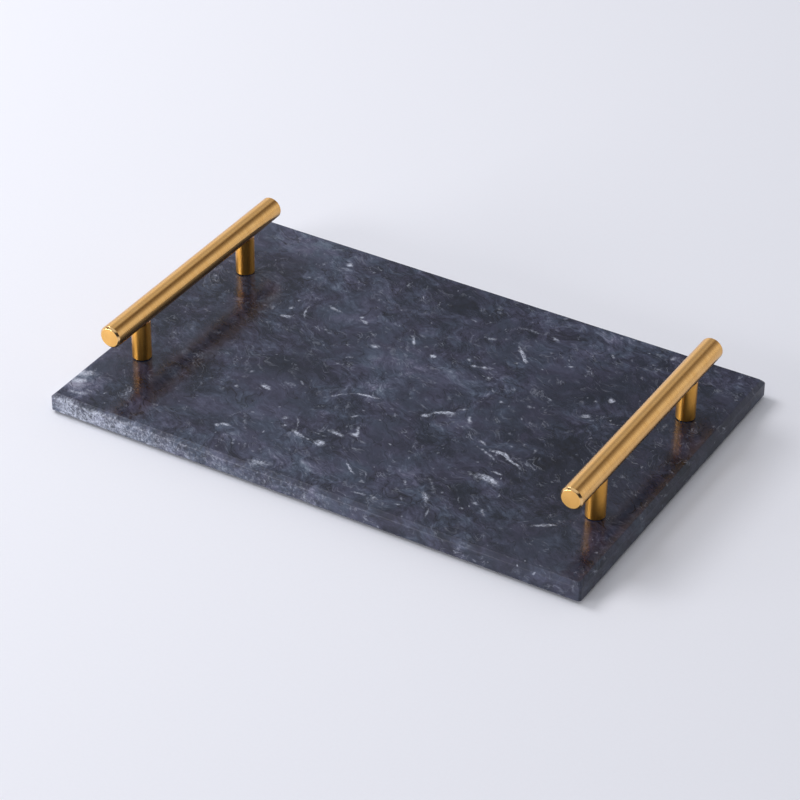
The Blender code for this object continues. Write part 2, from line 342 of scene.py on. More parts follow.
# mm to walk away from the noise lattice's own origin, where all sizes would meet
AWAY = (0.137, 0.241, 0.083)
SMOOTH = {"interpolation_type": "SMOOTHSTEP"}  # a range that starts and ends softly


def flowed(node, point, bends):
    """Pushes the coordinates about by noise, as the stone once flowed."""
    for size_mm, reach_mm, detail in bends:
        noise = node(
            "ShaderNodeTexNoise", {"Vector": point, "Scale": per_metre(size_mm), "Detail": detail}
        ).outputs["Color"]
        reach = reach_mm * MM
        start = node("ShaderNodeVectorMath", {0: point, 1: (-reach / 2,) * 3}, operation="ADD")
        point = node(
            "ShaderNodeVectorMath", {0: noise, 1: (reach,) * 3, 2: start}, operation="MULTIPLY_ADD"
        )
    return point


def streaks(node, point, length_mm, width_mm, inputs):
    """Noise that is drawn out along the stone's flow."""
    size = (length_mm * MM, width_mm * MM, width_mm * MM)
    drawn = node(
        "ShaderNodeMapping",
        {"Vector": point, "Rotation": (0, 0, GRAIN_TURN), "Scale": size},
        vector_type="TEXTURE",
    )
    return node("ShaderNodeTexNoise", {"Vector": drawn, "Scale": 1.0, **inputs})


def sum_of_marks(node, point, marks):
    """Adds up soft ellipses. Each is a mapping that makes its ellipse a unit ball."""
    total = 0.0
    for x, y, length, width, turn, bow, strength in marks:
        where, angles = (x * MM, y * MM, 0), (0, 0, math.radians(turn))
        size = (length / 2 * MM, width / 2 * MM, 1)
        placed = node(
            "ShaderNodeMapping",
            {"Vector": point, "Location": where, "Rotation": angles, "Scale": size},
            vector_type="TEXTURE",
        )
        if bow:
            x_way, y_way, _ = node("ShaderNodeSeparateXYZ", {0: placed}).outputs
            square = node("ShaderNodeMath", {0: x_way, 1: x_way}, operation="MULTIPLY")
            bend = {0: square, 1: -bow / (width / 2), 2: y_way}
            bent = node("ShaderNodeMath", bend, operation="MULTIPLY_ADD")
            placed = node("ShaderNodeCombineXYZ", {"X": x_way, "Y": bent})
        ball = node("ShaderNodeTexGradient", {0: placed}, gradient_type="SPHERICAL").outputs["Fac"]
        total = node("ShaderNodeMath", {0: ball, 1: strength, 2: total}, operation="MULTIPLY_ADD")
    return total


def cloudy_tone(node, flows):
    """The stone's tone from 0 to 1: clouds of several sizes, lumps, and the table of clouds and painted
    shade.
    """
    tone = TONE_SHIFT - sum(weight for *_, weight in TONES) / 2
    for flow, length, width, detail, roughness, distortion, weight in TONES:
        look = {"Detail": detail, "Roughness": roughness, "Distortion": distortion}
        cloud = streaks(node, flows[flow], length, width, look)
        tone = node("ShaderNodeMath", {0: cloud, 1: weight, 2: tone}, operation="MULTIPLY_ADD")
    lumps = node(
        "ShaderNodeTexVoronoi",
        {"Vector": flows["broad"], "Scale": per_metre(LUMP_MM), "Smoothness": 0.3},
        feature="SMOOTH_F1",
    ).outputs["Color"]
    lump = node("ShaderNodeSeparateColor", {0: lumps})
    tone = node("ShaderNodeMath", {0: lump, 1: LUMP_WEIGHT, 2: tone}, operation="MULTIPLY_ADD")
    plan = [(*mark, 0, CLOUD_WEIGHT * strength) for *mark, strength in CLOUDS_AND_SHADE]
    # The table's clouds, with the painted shade over the right end.
    patches_and_shade = sum_of_marks(node, flowed(node, flows["plan"], CLOUD_BENDS), plan)
    calm = node("ShaderNodeTexNoise", {"Vector": flows["broad"], "Scale": per_metre(CALM_MM), "Detail": 2})
    busy = node(
        "ShaderNodeMapRange",
        {"Value": calm, "From Min": 0.38, "From Max": 0.6, "To Min": 0.5, "To Max": 1.2},
    )
    tone = node("ShaderNodeMath", {0: tone, 1: busy, 2: patches_and_shade}, operation="MULTIPLY_ADD")
    return node("ShaderNodeMath", {0: tone, 1: 0.5}, operation="ADD")


def level_lines(node, flows, pale):
    """Thin broken lines along noise levels: the pale ones, or else the dark ones, added up."""
    total = 0.0
    for flow, length, width, distortion, half, mask_size, mask_low, strength in LINES:
        if (strength > 0) != pale:
            continue
        level = streaks(node, flows[flow], length, width, {"Detail": 2, "Distortion": distortion})
        off = node("ShaderNodeMath", {0: level, 1: 0.5}, operation="SUBTRACT")
        off = node("ShaderNodeMath", {0: off}, operation="ABSOLUTE")
        fade = {"Value": off, "From Min": half, "From Max": 0, "To Max": abs(strength)}
        line = node("ShaderNodeMapRange", fade, **SMOOTH)
        mask = node(
            "ShaderNodeTexNoise", {"Vector": flows["broad"], "Scale": per_metre(mask_size), "Detail": 3}
        )
        fade = {"Value": mask, "From Min": mask_low, "From Max": mask_low + MASK_EASE}
        mask = node("ShaderNodeMapRange", fade, **SMOOTH)
        total = node("ShaderNodeMath", {0: line, 1: mask, 2: total}, operation="MULTIPLY_ADD")
    return total


print("tones:", len(TONES), "and kinds of line:", len(LINES))

# %% [markdown]
# The finish decides how the layers reach the shader: its gloss, a pale veil where fine
# scratches scatter light, and for the rough finishes the scratches themselves.

# %% Three finishes of one marble
TINT_MM = 13  # the teal and plum areas
FLECK_MM = 3.6  # the grid of which a few cells hold a calcite grain
TEAR_MM = 1.8  # what frays the large marks
GRIT_MM = 1.1  # what breaks all the pale marks up, and varies the gloss
RUB_LENGTH_MM, RUB_WIDTH_MM = 30, 0.9  # the lines that honing and sawing leave
STONE_IOR = 1.5


def marble(name, roughness, level, veil_share, scratch_share):
    """The stone with one finish: its gloss, how far scatter pales it, and its hone marks."""
    material, tree, shader, plan = new_material(name)
    node = partial(add, tree)
    away = node("ShaderNodeVectorMath", {0: plan, 1: AWAY}, operation="ADD")
    broad = flowed(node, away, BROAD_BENDS)
    fine = flowed(node, broad, FINE_BENDS)
    flows = {"plan": plan, "broad": broad, "fine": fine}

    ramp = node("ShaderNodeValToRGB", {0: cloudy_tone(node, flows)})
    stops = ramp.color_ramp.elements
    for _ in STONE_RAMP[2:]:
        stops.new(0.5)
    for stop, (share, code) in zip(stops, STONE_RAMP):
        stop.position = share
        stop.color = linear(code)
    dark = node("ShaderNodeMath", {0: 1.0, 1: level_lines(node, flows, False)}, operation="SUBTRACT")
    stone = node("ShaderNodeVectorMath", {0: ramp, "Scale": dark}, operation="SCALE")
    tint = node("ShaderNodeTexNoise", {"Vector": broad, "Scale": per_metre(TINT_MM), "Detail": 4})
    tint = node("ShaderNodeMapRange", {"Value": tint, "From Min": 0.38, "From Max": 0.62})
    tint = node("ShaderNodeMix", {"Factor": tint, 6: TEAL, 7: PLUM}, data_type="RGBA")
    stone = node(
        "ShaderNodeMix", {"Factor": 1.0, 6: stone, 7: tint}, data_type="RGBA", blend_type="MULTIPLY"
    )

    # Calcite grains: a few cells of a grid of points, each with a small torn spot.
    cells = node("ShaderNodeTexVoronoi", {"Vector": fine, "Scale": per_metre(FLECK_MM)})
    chance = node("ShaderNodeSeparateColor", {0: cells.outputs["Color"]})
    size = node("ShaderNodeMapRange", {"Value": chance, "From Min": 0.8, "From Max": 1.0, "To Max": 0.3})
    spots = node("ShaderNodeMath", {0: size, 1: cells.outputs["Distance"]}, operation="SUBTRACT")
    spots = node("ShaderNodeMapRange", {"Value": spots, "From Max": 0.2, "To Max": 0.5}, **SMOOTH)

    # The large marks, torn by fine noise, over the pale lines.
    wide = [(x, y, HALO * length, HALO * width, *rest) for x, y, length, width, *rest in THREADS]
    marks = sum_of_marks(node, flowed(node, plan, MARK_BENDS), wide)
    torn = node(
        "ShaderNodeTexNoise",
        {"Vector": away, "Scale": per_metre(TEAR_MM), "Detail": 4, "Roughness": 0.65},
    )
    torn = node("ShaderNodeMath", {0: torn, 1: 1.5, 2: -0.75}, operation="MULTIPLY_ADD")
    marks = node("ShaderNodeMath", {0: torn, 1: 0.7, 2: marks}, operation="MULTIPLY_ADD")
    marks = node("ShaderNodeMapRange", {"Value": marks, "From Min": 0.16, "From Max": 0.95}, **SMOOTH)
    pale = node("ShaderNodeMath", {0: level_lines(node, flows, True), 1: spots}, operation="MAXIMUM")
    pale = node("ShaderNodeMath", {0: pale, 1: marks}, operation="MAXIMUM")
    grit = node(
        "ShaderNodeTexNoise",
        {"Vector": fine, "Scale": per_metre(GRIT_MM), "Detail": 3, "Roughness": 0.6},
    )
    broken = node("ShaderNodeMapRange", {"Value": grit, "From Min": 0.32, "From Max": 0.6})
    pale = node("ShaderNodeMath", {0: pale, 1: broken}, operation="MULTIPLY")
    stone = node("ShaderNodeMix", {"Factor": pale, 6: stone, 7: linear(CALCITE)}, data_type="RGBA")

    if veil_share:
        # Hone marks run level round the slab, so the noise is narrow across its height.
        spread = (per_metre(RUB_LENGTH_MM), per_metre(RUB_LENGTH_MM), per_metre(RUB_WIDTH_MM))
        rubs = node("ShaderNodeMapping", {"Vector": plan, "Scale": spread})
        rubs = node("ShaderNodeTexNoise", {"Vector": rubs, "Scale": 1.0, "Detail": 4})
        least, most = veil_share * (1 - scratch_share), veil_share * (1 + scratch_share)
        share = node(
            "ShaderNodeMapRange",
            {"Value": rubs, "From Min": 0.25, "From Max": 0.75, "To Min": least, "To Max": most},
        )
        veiled = {"Factor": share, 6: stone, 7: linear(HONED_VEIL)}
        stone = node("ShaderNodeMix", veiled, data_type="RGBA")
        bump = node("ShaderNodeBump", {"Height": rubs, "Distance": 0.02 * MM, "Strength": 0.6})
        feed(tree, shader, {"Normal": bump})
    least, most = roughness * 0.9, roughness * 1.15
    gloss = node(
        "ShaderNodeMapRange",
        {"Value": grit, "From Min": 0.3, "From Max": 0.7, "To Min": least, "To Max": most},
    )
    feed(tree, shader, {"Base Color": stone, "Roughness": gloss})
    feed(tree, shader, {"IOR": STONE_IOR, "Specular IOR Level": level})
    print(name, "uses", len(tree.nodes), "nodes")
    return material


# Polished: a near mirror, so the posts show in it, a little blurred.
polished = marble("marble, polished", 0.18, 0.44, 0, 0)
# Honed: silky and a little paler, with level rubbing marks.
honed = marble("marble, honed edge", 0.42, 0.35, 0.015, 0.5)
# Sawn: matt, with coarser lines from the blade.
sawn = marble("marble, sawn underside", 0.6, 0.35, 0.25, 0.7)

# %% [markdown]
# ## Brushed gold
# The handles are stainless steel with a thin gold-coloured coating laid down in vacuum,
# over a surface that was brushed while it turned. Brushing leaves rings round the bar.
# They spread a reflection along the bar and keep it sharp across it, which gives the long
# bright and dark stripes. So the shader is anisotropic, with its tangent from a UV map
# whose first direction runs along the bar.

# %% Brushed and faced gold
TURNED = "turned"  # the UV map of every turned piece
LATHE = "lathe"  # its attribute with each point's place on the lathe
BRUSH_MM = 0.5  # real rings are finer, but they would not show from a step away
LATHE_MM = 0.8  # rings that a lathe tool leaves
ROUND_MM = 14  # how far a ring runs round before it fades
BLOOM_MM = 7  # soft blooms in the coating


def gold(name, pale, deep, roughness, stretch, ring_mm, relief=0.5):
    """Coated steel. Stretch draws reflections out along the piece, relief deepens its rings."""
    material, tree, shader, _ = new_material(name)
    node = partial(add, tree)
    local = node("ShaderNodeAttribute", attribute_name=LATHE).outputs["Vector"]
    spread = (per_metre(ROUND_MM), per_metre(ROUND_MM), per_metre(ring_mm))
    rings = node("ShaderNodeMapping", {"Vector": local, "Scale": spread})
    rings = node("ShaderNodeTexNoise", {"Vector": rings, "Scale": 1.0, "Detail": 4, "Roughness": 0.65})
    bloom = node("ShaderNodeTexNoise", {"Vector": local, "Scale": per_metre(BLOOM_MM), "Detail": 3})
    share = node("ShaderNodeMath", {0: bloom, 1: 0.35, 2: -0.17}, operation="MULTIPLY_ADD")
    share = node("ShaderNodeMath", {0: rings, 1: share}, operation="ADD")
    shades = {"Factor": share, 6: linear(deep), 7: linear(pale)}
    colour = node("ShaderNodeMix", shades, data_type="RGBA")
    deepest, palest = roughness * (1 + 0.5 * relief), roughness * (1 - 0.4 * relief)
    rough = node(
        "ShaderNodeMapRange",
        {"Value": share, "From Min": 0.25, "From Max": 0.75, "To Min": deepest, "To Max": palest},
    )
    bump = node("ShaderNodeBump", {"Height": rings, "Distance": 0.003 * MM, "Strength": relief})
    along = node("ShaderNodeTangent", direction_type="UV_MAP", uv_map=TURNED)
    feed(tree, shader, {"Base Color": colour, "Metallic": 1.0, "Roughness": rough, "Normal": bump})
    feed(tree, shader, {"Anisotropic": stretch, "Tangent": along})
    return material


# Brushed while turning: long stripes of light, crisp across and soft along the piece.
brushed_gold = gold("gold coated steel, brushed", "#F2C684", "#E0A452", 0.2, 0.93, BRUSH_MM)
# Faced on a lathe and coated: flatter and deeper in colour, with faint rings.
faced_gold = gold("gold coated steel, faced", "#FFCB7C", "#F4B75F", 0.3, 0.3, LATHE_MM)
# The chamfer is cut last and not brushed, so it is a bright crisp ring.
cut_gold = gold("gold coated steel, bright cut", "#F4CC92", "#EDBE7E", 0.2, 0.2, LATHE_MM)
# The posts have shallower rings and soft stripes. Their deeper colour is painted shade: a darker copy of
# the bars' gold that deepens the dark gold between the stripes.
post_gold_painted_shade = gold("gold coated steel, fine brushed, painted shade", "#F0B660", "#D8983A", 0.32, 0.76, BRUSH_MM, 0.02)
GOLDS = (brushed_gold, faced_gold, cut_gold, post_gold_painted_shade)
BRUSHED, FACED, CUT, POST_GOLD_SHADED = range(len(GOLDS))
print("gold finishes:", [finish.name for finish in GOLDS])

# %% [markdown]
# ## Zinc-plated steel and foam rubber
# The screws, washers and studs are mild steel with a thin bright zinc coat, which looks
# grey with soft blooms. The pads are cut from black foam rubber sheet, matt with tiny
# open pores.

# %% Plated steel and pad rubber


def plated():
    """Zinc on steel: metal with blooms a few millimetres wide."""
    material, tree, shader, place = new_material("zinc plated steel")
    node = partial(add, tree)
    bloom = node("ShaderNodeTexNoise", {"Vector": place, "Scale": per_metre(2.5), "Detail": 4})
    shades = {"Factor": bloom, 6: linear("#A9ACB2"), 7: linear("#CDD0D4")}
    colour = node("ShaderNodeMix", shades, data_type="RGBA")
    rough = node("ShaderNodeMapRange", {"Value": bloom, "To Min": 0.28, "To Max": 0.45})
    bump = node("ShaderNodeBump", {"Height": bloom, "Distance": 0.01 * MM, "Strength": 0.4})
    feed(tree, shader, {"Base Color": colour, "Metallic": 1.0, "Roughness": rough, "Normal": bump})
    return material


def foam():
    """Black foam rubber: matt, with open pores about 0.4 millimetres apart."""
    material, tree, shader, place = new_material("foam rubber, cut")
    node = partial(add, tree)
    pores = node("ShaderNodeTexVoronoi", {"Vector": place, "Scale": per_metre(0.4)})
    shades = {"Factor": pores, 6: linear("#161617"), 7: linear("#2E2E30")}
    colour = node("ShaderNodeMix", shades, data_type="RGBA")
    rough = node("ShaderNodeMapRange", {"Value": pores, "To Min": 0.7, "To Max": 0.9})
    bump = node("ShaderNodeBump", {"Height": pores, "Distance": 0.08 * MM, "Strength": 0.7})
    feed(tree, shader, {"Base Color": colour, "Roughness": rough, "Normal": bump})
    return material


zinc = plated()
rubber = foam()
print("hidden pieces:", zinc.name, "and", rubber.name)

# %% [markdown]
# ## The slab
# The real slab is sawn from a tile. Its edges are ground to a wide arris on top and a
# narrow one below, then honed by hand. The body is the hull of four outlines, and the
# model's box gives their size. Then come two things that a saw-cut block lacks: every edge
# is eased a quarter of a millimetre, and the ground edges waver a little.

# %% The slab's body
TOP_ARRIS = 2.0 * MM
CORNER_ARRIS = 1.0 * MM
BOTTOM_ARRIS = 0.6 * MM
EASE = 0.25 * MM
WAVER = 0.06 * MM
STEP = 4.0 * MM  # the width of the strips that can waver


def ease(shape, width, segments, least_turn):
    """Rounds each edge where two faces meet at more than the least turn, in degrees."""
    sharp = [e for e in shape.edges if e.calc_face_angle(0) > math.radians(least_turn)]
    bmesh.ops.bevel(
        shape, geom=sharp, offset=width, segments=segments, profile=0.5, affect="EDGES", material=-1
    )


def slab_shape():
    """Eased hull of the slab's outlines, cut into strips whose ground edges can waver."""
    low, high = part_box("marble_slab")
    levels = (
        (TOP_ARRIS, high[2]),
        (0, high[2] - TOP_ARRIS),
        (0, low[2] + BOTTOM_ARRIS),
        (BOTTOM_ARRIS, low[2]),
    )
    shape = bmesh.new()
    for inset, height in levels:
        x, y = high[0] - inset, high[1] - inset
        for x_sign in SIDES.values():
            for y_sign in ENDS.values():
                shape.verts.new((x_sign * (x - CORNER_ARRIS), y_sign * y, height))
                shape.verts.new((x_sign * x, y_sign * (y - CORNER_ARRIS), height))
    bmesh.ops.convex_hull(shape, input=shape.verts)
    bmesh.ops.dissolve_limit(shape, angle_limit=math.radians(1), verts=shape.verts, edges=shape.edges)
    bmesh.ops.recalc_face_normals(shape, faces=shape.faces)
    ease(shape, EASE, 3, 20)
    for axis, reach in ((0, high[0]), (1, high[1])):
        count = int((reach - 2 * STEP) / STEP)
        for step in range(-count, count + 1):
            cut = Vector((1 - axis, axis, 0))
            parts = [*shape.verts, *shape.edges, *shape.faces]
            bmesh.ops.bisect_plane(shape, geom=parts, plane_co=cut * step * STEP, plane_no=cut)
    return shape


body = slab_shape()
print("slab body:", len(body.verts), "vertices")

# %% [markdown]
# Grinding by hand leaves an edge that wanders by a few hundredths. A smooth noise moves
# the points of the ground faces, mostly inwards, and leaves the flat top and underside
# alone.

# %% Uneven grinding and the stone's three finishes
from mathutils import noise as field

STONES = (polished, honed, sawn)
POLISHED, HONED, SAWN = range(len(STONES))
LEVEL = 0.97  # a normal that leans at least this much up or down belongs to a flat face
SLAB_TURN = 35  # degrees up to which the slab is shaded smooth


def waver(shape):
    """Moves the ground edges' points along their normals."""
    low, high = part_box("marble_slab")
    for vert in shape.verts:
        if low[2] + 0.1 * EASE < vert.co.z < high[2] - 0.1 * EASE:
            wave = field.noise(vert.co * per_metre(11)) + 0.5 * field.noise(vert.co * per_metre(5))
            vert.co += vert.normal * (wave * WAVER - WAVER)


def finish_of(face, low, high):
    """The polished top, the sawn underside or else the honed edges."""
    if face.normal.z > LEVEL and face.calc_center_median().z > high[2] - EASE:
        return POLISHED
    if face.normal.z < -LEVEL and face.calc_center_median().z < low[2] + EASE:
        return SAWN
    return HONED


def shade(piece, turn):
    """Smooth up to a turn in degrees, with flat faces kept flat beside their eased edges."""
    piece.data.shade_smooth()
    piece.data.set_sharp_from_angle(angle=math.radians(turn))
    piece.modifiers.new("flat faces stay flat", "WEIGHTED_NORMAL").keep_sharp = True


def object_of(name, shape, materials, turn=0):
    """Makes an object of the bmesh, shaded smooth up to a turn in degrees."""
    mesh = bpy.data.meshes.new(name)
    shape.to_mesh(mesh)
    shape.free()
    for material in materials:
        mesh.materials.append(material)
    piece = bpy.data.objects.new(name, mesh)
    bpy.context.scene.collection.objects.link(piece)
    if turn:
        shade(piece, turn)
    return piece


waver(body)
body.normal_update()
slab_low, slab_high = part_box("marble_slab")
for face in body.faces:
    face.material_index = finish_of(face, slab_low, slab_high)
slab = object_of("stone_slab", body, STONES, SLAB_TURN)
print("slab faces:", len(slab.data.polygons))

# %% [markdown]
# ## Turned pieces
# Bars, posts, screws, washers and pads are all turned about an axis. A profile is spun
# about Z, and its sharp rings may be eased. The gold pieces also get two things for their
# finish: a UV map that runs along the profile and round the axis, and the local place of
# each point as an attribute, so that brush rings follow the piece whichever way it is laid.

# %% Spin a profile
ROUND = 64  # steps round a small piece
FINE_ROUND = 96  # and round a large one
TURNED_TURN = 30  # degrees up to which a turned piece is shaded smooth


def spun(profile, steps, loop=False, climb=0.0):
    """Spins a profile of radius and height about Z: a closed shape, or a helix if it climbs."""
    shape = bmesh.new()
    points = [shape.verts.new((radius, 0, height)) for radius, height in profile]
    pairs = list(zip(points, points[1:]))
    if loop:
        pairs.append((points[-1], points[0]))
    edges = [shape.edges.new(pair) for pair in pairs]
    bmesh.ops.spin(
        shape,
        geom=points + edges,
        cent=(0, 0, 0),
        axis=(0, 0, 1),
        dvec=(0, 0, climb / steps),
        angle=math.tau,
        steps=steps,
        use_merge=not climb,
    )
    bmesh.ops.remove_doubles(shape, verts=shape.verts, dist=0.001 * MM)
    bmesh.ops.recalc_face_normals(shape, faces=shape.faces)
    return shape


def move(shape, way):
    """Moves a shape."""
    bmesh.ops.translate(shape, verts=shape.verts, vec=way)


def lay(shape):
    """Lays an upright shape down along Y."""
    turn = Matrix.Rotation(math.radians(90), 3, "X")
    bmesh.ops.rotate(shape, verts=shape.verts, cent=(0, 0, 0), matrix=turn)


def chart(shape):
    """Writes the UV map and the attribute that the turned finishes read."""
    uv = shape.loops.layers.uv.new(TURNED)
    local = shape.verts.layers.float_vector.new(LATHE)
    widest = max(math.hypot(v.co.x, v.co.y) for v in shape.verts)
    for vert in shape.verts:
        spare = widest - math.hypot(vert.co.x, vert.co.y)
        vert[local] = (vert.co.x, vert.co.y, vert.co.z + math.copysign(spare, vert.co.z))
    for face in shape.faces:
        centre = face.calc_center_median()
        middle = math.atan2(centre.y, centre.x)
        for loop in face.loops:
            x, y, _ = loop.vert.co
            angle = math.atan2(y, x) if math.hypot(x, y) > 0.01 * MM else middle
            turn = (angle - middle + math.pi) % math.tau - math.pi
            loop[uv].uv = (loop.vert[local].z, (middle + turn) / math.tau)


def carve(piece, cutters, turn):
    """Takes the cutters' shapes out of a piece for good, removes them and shades anew."""
    for cutter in cutters:
        cut = piece.modifiers.new("cut", "BOOLEAN")
        cut.object = cutter
        cut.solver = "EXACT"
    bpy.context.view_layer.update()
    seen = piece.evaluated_get(bpy.context.evaluated_depsgraph_get())
    whole = piece.data
    piece.modifiers.clear()
    piece.data = bpy.data.meshes.new_from_object(seen)
    bpy.data.meshes.remove(whole)
    for cutter in cutters:
        bpy.data.objects.remove(cutter)
    shade(piece, turn)


print("turned pieces share the map", TURNED)

# %% [markdown]
# ## Holes in the slab
# Each handle screw comes up through a hole that widens below for its head and washer.
# The drill leaves a stepped bore, which the model gives by the washer's box.

# %% Bore the slab
HOLE_CLEARANCE = 0.5 * MM
BORE_CLEARANCE = 0.5 * MM
GAP = 0.3 * MM
THREAD = 4.0 * MM


def settle(piece, node):
    """Rides a piece on the tray's one body and lets it stand for its piece of the model."""
    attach(piece, "root")
    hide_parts(node)
    return piece


def stepped_bore(side, end):
    """A cutter: narrow for the screw, wide for the head, past the slab both ways."""
    low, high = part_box(f"washer_{side}_{end}")
    narrow = THREAD / 2 + HOLE_CLEARANCE
    wide = (high[0] - low[0]) / 2 + BORE_CLEARANCE
    top, ledge, bottom = slab_high[2] + THREAD, high[2] + GAP, slab_low[2] - THREAD
    profile = [(0, top), (narrow, top), (narrow, ledge), (wide, ledge), (wide, bottom), (0, bottom)]
    shape = spun(profile, ROUND)
    move(shape, ((low[0] + high[0]) / 2, (low[1] + high[1]) / 2, 0))
    for face in shape.faces:
        face.material_index = SAWN
    return object_of(f"bore_{side}_{end}", shape, STONES, SLAB_TURN)


carve(slab, [stepped_bore(side, end) for side in SIDES for end in ENDS], SLAB_TURN)
settle(slab, "marble_slab")
print("bored slab faces:", len(slab.data.polygons))

# %% [markdown]
# ## Handle bars
# Each bar is a solid rod, turned to length, with a one millimetre chamfer at each end.
# Its rim is where light catches, so the chamfer's two edges are eased, not left sharp.

# %% Turn the bars
END_CHAMFER = 1.0 * MM
RIM_EASE = 0.12 * MM
STUD_SPARE = 1.0 * MM
END_LEAN = 0.95  # an end face's normal leans at least this much along the axis
CHAMFER_LEAN = 0.2  # and a chamfer's at least this much


def middle(node):
    """The centre of a piece of the model."""
    low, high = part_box(node)
    return (Vector(low) + Vector(high)) / 2


def radius_of(node):
    """Half of a piece's width along X."""
    low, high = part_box(node)
    return (high[0] - low[0]) / 2


def thread_hole(name, bottom, top, where):
    """An upright cylinder that cuts a plain hole for a thread."""
    radius = THREAD / 2 + GAP
    shape = spun([(0, top), (radius, top), (radius, bottom), (0, bottom)], 48)
    move(shape, (where.x, where.y, 0))
    return object_of(name, shape, GOLDS, TURNED_TURN)


def make_bar(side):
    """A chamfered rod along Y with two blind holes for the studs."""
    name = f"handle_bar_{side}"
    low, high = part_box(name)
    radius, half = radius_of(name), (high[1] - low[1]) / 2
    rim, flank = radius - END_CHAMFER, half - END_CHAMFER
    profile = [(0, half), (rim, half), (radius, flank), (radius, -flank), (rim, -half), (0, -half)]
    shape = spun(profile, FINE_ROUND)
    ease(shape, RIM_EASE, 3, 25)
    chart(shape)
    for face in shape.faces:
        lean = abs(face.normal.z)
        face.material_index = FACED if lean > END_LEAN else CUT if lean > CHAMFER_LEAN else BRUSHED
    lay(shape)
    move(shape, middle(name))
    bar = object_of(f"brushed_bar_{side}", shape, GOLDS, TURNED_TURN)
    holes = []
    for end in ENDS:
        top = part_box(f"bar_stud_{side}_{end}")[1][2] + STUD_SPARE
        where = middle(f"post_{side}_{end}")
        holes.append(thread_hole(f"stud_hole_{side}_{end}", low[2] - radius, top, where))
    carve(bar, holes, TURNED_TURN)
    return settle(bar, name)


bars = [make_bar(side) for side in SIDES]
print("bars:", [len(bar.data.polygons) for bar in bars])

# %% [markdown]
# ## Posts
# A post is a short rod. Its top is milled to a saddle that fits the round bar, and its
# foot has a small chamfer, which shows as a thin dark line on the stone.

# %% Turn and mill the posts
FOOT_CHAMFER = 0.28 * MM


def make_post(side, end):
    """A post with a saddle top, bored through for its stud and screw."""
    name, bar = f"post_{side}_{end}", f"handle_bar_{side}"
    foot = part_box(name)[0][2]
    bar_low, bar_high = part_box(bar)
    axis_height = (bar_low[2] + bar_high[2]) / 2
    radius, saddle_radius = radius_of(name), radius_of(bar) + GAP
    where = middle(name)
    ledge, rim = foot + FOOT_CHAMFER, radius - FOOT_CHAMFER
    profile = [(0, axis_height), (radius, axis_height), (radius, ledge), (rim, foot), (0, foot)]
    shape = spun(profile, FINE_ROUND)
    move(shape, (0, 0, -axis_height))
    chart(shape)
    move(shape, (where.x, where.y, axis_height))
    for face in shape.faces:
        # The sides take the post gold, whose deeper colour is painted shade.
        face.material_index = CUT if CHAMFER_LEAN < abs(face.normal.z) < END_LEAN else POST_GOLD_SHADED
    post = object_of(f"brushed_post_{side}_{end}", shape, GOLDS, TURNED_TURN)
    saddle = spun([(0, 1), (saddle_radius, 1), (saddle_radius, -1), (0, -1)], 128)
    bmesh.ops.scale(saddle, verts=saddle.verts, vec=(1, 1, radius * 3))
    lay(saddle)
    move(saddle, (where.x, where.y, axis_height))
    cutters = [
        object_of("saddle", saddle, GOLDS, TURNED_TURN),
        thread_hole("post_bore", foot - radius, axis_height + radius, where),
    ]
    carve(post, cutters, TURNED_TURN)
    return settle(post, name)


posts = [make_post(side, end) for side in SIDES for end in ENDS]
print("posts:", len(posts), "of", len(posts[0].data.polygons), "faces")

# %% [markdown]
# ## Threads, screws and studs
# An M4 thread climbs 0.7 mm a turn. Its profile is a row of teeth, spun once while it
# climbs by one tooth, so the end of the turn meets the next tooth and the row becomes
# one helix. Two cuts square to the axis trim it, and the open ends are filled.

# %% Cut a thread
PITCH = 0.7 * MM
THREAD_DEPTH = 0.43 * MM
THREAD_ROUND = 32  # steps in one turn of the thread
# a tooth's four points: 0 at the root or 1 at the crest, and the drop as a share of the pitch
TOOTH = ((0, 0), (0, 0.125), (1, 0.5), (1, 0.625))


def threaded(bottom, top):
    """A closed M4 threaded rod between two heights."""
    radii = (THREAD / 2 - THREAD_DEPTH, THREAD / 2)
    row = []
    for tooth in range(int((top - bottom) / PITCH) + 3):
        height = top + PITCH - tooth * PITCH
        row += [(radii[crest], height - PITCH * drop) for crest, drop in TOOTH]
    shape = spun(row, THREAD_ROUND, climb=PITCH)
    for height, up in ((top, 1), (bottom, -1)):
        parts = [*shape.verts, *shape.edges, *shape.faces]
        cut = bmesh.ops.bisect_plane(
            shape, geom=parts, plane_co=(0, 0, height), plane_no=(0, 0, up), clear_outer=True
        )
        rim = [e for e in cut["geom_cut"] if isinstance(e, bmesh.types.BMEdge)]
        bmesh.ops.contextual_create(shape, geom=rim)
    bmesh.ops.recalc_face_normals(shape, faces=shape.faces)
    return shape


test = threaded(0, 5 * MM)
open_edges = sum(1 for edge in test.edges if edge.is_boundary)
print("a thread of 5 mm:", len(test.faces), "faces, open edges", open_edges)
test.free()

# %% [markdown]
# The screw's head is a low dome with a hexagon socket. It is turned by itself and then
# joined to the thread, because a thread is not a turned shape.

# %% Make the hidden fasteners
HEAD_RIM = 0.4 * MM
HEAD_FLAT = 2.2 * MM  # radius of the flat on the dome
DOME_STEPS = 12
SOCKET = 2.5 * MM  # across the flats
SOCKET_DEPTH = 1.3 * MM
WASHER_CLEARANCE = 0.15 * MM
PLATED = (zinc,)


def on_axis(title, shape, node, materials=PLATED):
    """Moves a shape to the axis of a piece of the model, and makes its object."""
    where = middle(node)
    move(shape, (where.x, where.y, 0))
    return object_of(title, shape, materials, TURNED_TURN)


